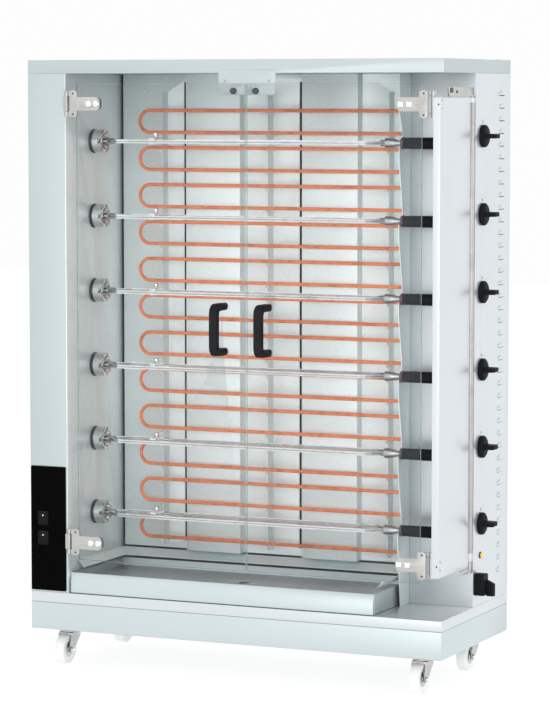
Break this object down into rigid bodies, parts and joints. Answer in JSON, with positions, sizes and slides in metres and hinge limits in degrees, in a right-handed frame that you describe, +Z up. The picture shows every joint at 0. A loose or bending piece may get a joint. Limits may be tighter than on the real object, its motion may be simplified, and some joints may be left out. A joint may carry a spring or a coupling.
{
  "type": "rotisserie oven",
  "caption": "Floor-standing rotisserie oven: glass double doors, horizontal spits with chuck drive, rear heating elements, side handle bay, drip drawer and swivel casters.",
  "frame": {"origin": "on the floor under the middle of the whole oven's box", "axes": "+Z up, the glass doors face -Y, and +X points to the side wall with the knobs"},
  "size_m": [1.175, 0.55, 1.552],
  "materials": {
    "stainless": "fine brushed stainless sheet",
    "liner": "bright annealed stainless sheet",
    "polished": "polished stainless",
    "zinc": "satin zinc",
    "black_plastic": "satin moulded",
    "black_panel": "gloss",
    "element": "heat-tinted element sheath",
    "dark_metal": "satin",
    "door_glass": "clear toughened glass",
    "white_nylon": "moulded nylon",
    "amber_lens": "clear amber"
  },
  "bodies": {
    "cabinet": {"base_plinth": "stainless", "base_deck": "stainless", "top_cover": "stainless", "left_column": "stainless", "left_liner": "liner", "rear_liner": "liner", "right_liner": "liner", "control_housing": "stainless", "rear_cover": "stainless", "cable_gland": "black_plastic", "element_bank_upper": "element", "element_bank_lower": "element", "switch_base": "black_plastic", "drive_chain": "dark_metal", "drive_motor": "dark_metal", "pilot_lamp": "amber_lens", "control_panel": "black_panel", "side_door_post": "dark_metal", "drip_funnel": "liner"},
    "left_door": {"door_glass_left": "door_glass", "door_handle_left": "black_plastic", "hinge_left_top": "zinc", "hinge_left_bottom": "zinc"},
    "side_door": {"side_door": "stainless"},
    "right_door": {"door_glass_right": "door_glass", "door_handle_right": "black_plastic", "hinge_right_top": "zinc", "hinge_right_bottom": "zinc"},
    "drip_tray": {"drip_tray": "stainless", "drip_tray_front": "stainless", "drip_grid": "liner"},
    "main_switch": {"main_switch": "black_plastic"},
    "rocker_upper": {"rocker_upper": "black_plastic"},
    "rocker_lower": {"rocker_lower": "black_plastic"},
    "chuck_1": {"drive_chuck_1": "polished"},
    "spit_1": {"spit_1": "polished"},
    "knob_1": {"knob_1": "black_plastic"},
    "chuck_2": {"drive_chuck_2": "polished"},
    "spit_2": {"spit_2": "polished"},
    "knob_2": {"knob_2": "black_plastic"},
    "chuck_3": {"drive_chuck_3": "polished"},
    "spit_3": {"spit_3": "polished"},
    "knob_3": {"knob_3": "black_plastic"},
    "chuck_4": {"drive_chuck_4": "polished"},
    "spit_4": {"spit_4": "polished"},
    "knob_4": {"knob_4": "black_plastic"},
    "chuck_5": {"drive_chuck_5": "polished"},
    "spit_5": {"spit_5": "polished"},
    "knob_5": {"knob_5": "black_plastic"},
    "chuck_6": {"drive_chuck_6": "polished"},
    "spit_6": {"spit_6": "polished"},
    "knob_6": {"knob_6": "black_plastic"},
    "caster_front_left": {"caster_fork_front_left": "zinc"},
    "wheel_front_left": {"caster_wheel_front_left": "white_nylon"},
    "caster_front_right": {"caster_fork_front_right": "zinc"},
    "wheel_front_right": {"caster_wheel_front_right": "white_nylon"},
    "caster_back_left": {"caster_fork_back_left": "zinc"},
    "wheel_back_left": {"caster_wheel_back_left": "white_nylon"},
    "caster_back_right": {"caster_fork_back_right": "zinc"},
    "wheel_back_right": {"caster_wheel_back_right": "white_nylon"}
  },
  "joints": [
    {"name": "left_door_swing", "type": "hinge", "parent": "cabinet", "child": "left_door", "pos_m": [-0.4715, -0.203, 0.888], "axis": [0, 0, -1], "range_deg": [0, 105]},
    {"name": "side_door_swing", "type": "hinge", "parent": "cabinet", "child": "side_door", "pos_m": [0.5385, 0.009, 0.888], "axis": [0, 0, 1], "range_deg": [0, 90]},
    {"name": "right_door_swing", "type": "hinge", "parent": "side_door", "child": "right_door", "pos_m": [0.5195, -0.203, 0.888], "axis": [0, 0, 1], "range_deg": [0, 90]},
    {"name": "chuck_1_spin", "type": "hinge", "parent": "cabinet", "child": "chuck_1", "pos_m": [-0.4625, -0.04, 1.346], "axis": [1, 0, 0], "continuous": true},
    {"name": "chuck_2_spin", "type": "hinge", "parent": "cabinet", "child": "chuck_2", "pos_m": [-0.4625, -0.04, 1.1537], "axis": [1, 0, 0], "continuous": true},
    {"name": "chuck_3_spin", "type": "hinge", "parent": "cabinet", "child": "chuck_3", "pos_m": [-0.4625, -0.04, 0.9614], "axis": [1, 0, 0], "continuous": true},
    {"name": "chuck_4_spin", "type": "hinge", "parent": "cabinet", "child": "chuck_4", "pos_m": [-0.4625, -0.04, 0.7691], "axis": [1, 0, 0], "continuous": true},
    {"name": "chuck_5_spin", "type": "hinge", "parent": "cabinet", "child": "chuck_5", "pos_m": [-0.4625, -0.04, 0.5768], "axis": [1, 0, 0], "continuous": true},
    {"name": "chuck_6_spin", "type": "hinge", "parent": "cabinet", "child": "chuck_6", "pos_m": [-0.4625, -0.04, 0.3845], "axis": [1, 0, 0], "continuous": true},
    {"name": "spit_1_pull", "type": "slide", "parent": "chuck_1", "child": "spit_1", "axis": [1, 0, 0], "range_m": [0, 0.0085]},
    {"name": "spit_2_pull", "type": "slide", "parent": "chuck_2", "child": "spit_2", "axis": [1, 0, 0], "range_m": [0, 0.0085]},
    {"name": "spit_3_pull", "type": "slide", "parent": "chuck_3", "child": "spit_3", "axis": [1, 0, 0], "range_m": [0, 0.0085]},
    {"name": "spit_4_pull", "type": "slide", "parent": "chuck_4", "child": "spit_4", "axis": [1, 0, 0], "range_m": [0, 0.0085]},
    {"name": "spit_5_pull", "type": "slide", "parent": "chuck_5", "child": "spit_5", "axis": [1, 0, 0], "range_m": [0, 0.0085]},
    {"name": "spit_6_pull", "type": "slide", "parent": "chuck_6", "child": "spit_6", "axis": [1, 0, 0], "range_m": [0, 0.0085]},
    {"name": "knob_1_turn", "type": "hinge", "parent": "cabinet", "child": "knob_1", "pos_m": [0.5425, 0.075, 1.363], "axis": [-1, 0, 0], "range_deg": [0, 270]},
    {"name": "knob_2_turn", "type": "hinge", "parent": "cabinet", "child": "knob_2", "pos_m": [0.5425, 0.075, 1.1698], "axis": [-1, 0, 0], "range_deg": [0, 270]},
    {"name": "knob_3_turn", "type": "hinge", "parent": "cabinet", "child": "knob_3", "pos_m": [0.5425, 0.075, 0.9766], "axis": [-1, 0, 0], "range_deg": [0, 270]},
    {"name": "knob_4_turn", "type": "hinge", "parent": "cabinet", "child": "knob_4", "pos_m": [0.5425, 0.075, 0.7834], "axis": [-1, 0, 0], "range_deg": [0, 270]},
    {"name": "knob_5_turn", "type": "hinge", "parent": "cabinet", "child": "knob_5", "pos_m": [0.5425, 0.075, 0.5902], "axis": [-1, 0, 0], "range_deg": [0, 270]},
    {"name": "knob_6_turn", "type": "hinge", "parent": "cabinet", "child": "knob_6", "pos_m": [0.5425, 0.075, 0.397], "axis": [-1, 0, 0], "range_deg": [0, 270]},
    {"name": "main_switch_turn", "type": "hinge", "parent": "cabinet", "child": "main_switch", "pos_m": [0.5425, 0.05, 0.248], "axis": [-1, 0, 0], "range_deg": [0, 90]},
    {"name": "rocker_upper_tip", "type": "hinge", "parent": "cabinet", "child": "rocker_upper", "pos_m": [-0.5505, -0.1965, 0.383], "axis": [1, 0, 0], "range_deg": [0, 4]},
    {"name": "rocker_lower_tip", "type": "hinge", "parent": "cabinet", "child": "rocker_lower", "pos_m": [-0.5505, -0.1965, 0.332], "axis": [1, 0, 0], "range_deg": [0, 4]},
    {"name": "tray_slide", "type": "slide", "parent": "cabinet", "child": "drip_tray", "axis": [0, -1, 0], "range_m": [0, 0.27]},
    {"name": "caster_front_left_swivel", "type": "hinge", "parent": "cabinet", "child": "caster_front_left", "pos_m": [-0.5125, -0.125, 0.085], "axis": [0, 0, 1], "continuous": true},
    {"name": "wheel_front_left_roll", "type": "hinge", "parent": "caster_front_left", "child": "wheel_front_left", "pos_m": [-0.5125, -0.153, 0.038], "axis": [1, 0, 0], "continuous": true},
    {"name": "caster_front_right_swivel", "type": "hinge", "parent": "cabinet", "child": "caster_front_right", "pos_m": [0.4675, -0.125, 0.085], "axis": [0, 0, 1], "continuous": true},
    {"name": "wheel_front_right_roll", "type": "hinge", "parent": "caster_front_right", "child": "wheel_front_right", "pos_m": [0.4675, -0.153, 0.038], "axis": [1, 0, 0], "continuous": true},
    {"name": "caster_back_left_swivel", "type": "hinge", "parent": "cabinet", "child": "caster_back_left", "pos_m": [-0.5125, 0.205, 0.085], "axis": [0, 0, 1], "continuous": true},
    {"name": "wheel_back_left_roll", "type": "hinge", "parent": "caster_back_left", "child": "wheel_back_left", "pos_m": [-0.5125, 0.177, 0.038], "axis": [1, 0, 0], "continuous": true},
    {"name": "caster_back_right_swivel", "type": "hinge", "parent": "cabinet", "child": "caster_back_right", "pos_m": [0.4675, 0.205, 0.085], "axis": [0, 0, 1], "continuous": true},
    {"name": "wheel_back_right_roll", "type": "hinge", "parent": "caster_back_right", "child": "wheel_back_right", "pos_m": [0.4675, 0.177, 0.038], "axis": [1, 0, 0], "continuous": true}
  ],
  "couplings": [
    {"joint": "chuck_2_spin", "follows": "chuck_1_spin", "ratio": 1},
    {"joint": "chuck_3_spin", "follows": "chuck_1_spin", "ratio": 1},
    {"joint": "chuck_4_spin", "follows": "chuck_1_spin", "ratio": 1},
    {"joint": "chuck_5_spin", "follows": "chuck_1_spin", "ratio": 1},
    {"joint": "chuck_6_spin", "follows": "chuck_1_spin", "ratio": 1}
  ]
}
